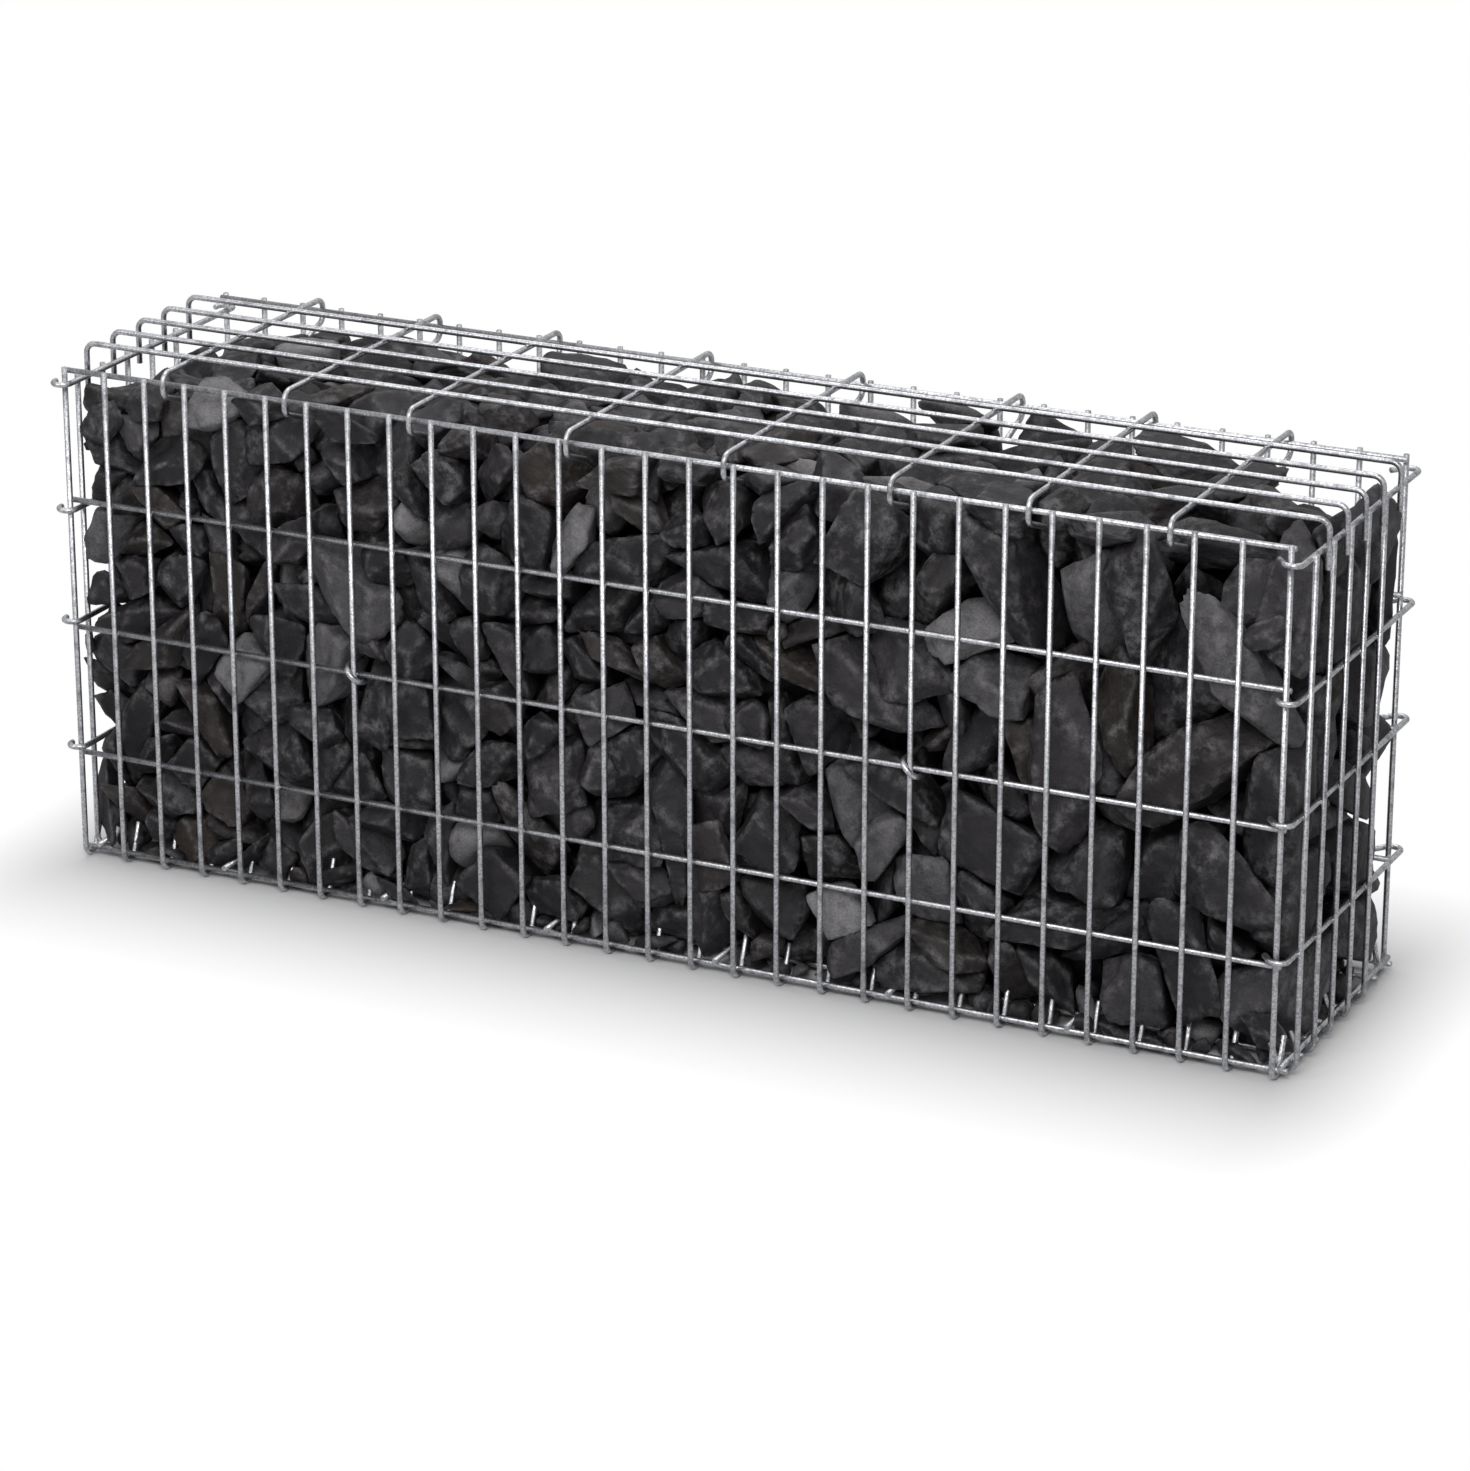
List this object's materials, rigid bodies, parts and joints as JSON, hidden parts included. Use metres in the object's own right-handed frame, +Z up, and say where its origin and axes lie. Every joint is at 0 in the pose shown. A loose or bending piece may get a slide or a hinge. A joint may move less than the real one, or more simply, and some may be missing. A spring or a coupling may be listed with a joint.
{
  "type": "gabion wall",
  "caption": "Free-standing gabion wall section: a hooked basket of welded galvanised wire panels with a lid and cross ties, packed with dark broken stone.",
  "frame": {"origin": "centre of the footprint on the ground, under the foot hooks", "axes": "+X along the wall to the right as seen from the face, +Y from the face to the back, +Z up"},
  "size_m": [1.0356, 0.2584, 0.4189],
  "materials": {
    "galvanised_wire": "hot-dip zinc, dull with a fine spangle",
    "dark_stone": "rough broken basalt, charcoal to grey"
  },
  "bodies": {
    "root": {"front_panel": "galvanised_wire", "back_panel": "galvanised_wire", "left_end_panel": "galvanised_wire", "right_end_panel": "galvanised_wire", "base_panel": "galvanised_wire", "lid_panel": "galvanised_wire", "left_tie": "galvanised_wire", "right_tie": "galvanised_wire", "stone_fill": "dark_stone"}
  },
  "joints": []
}
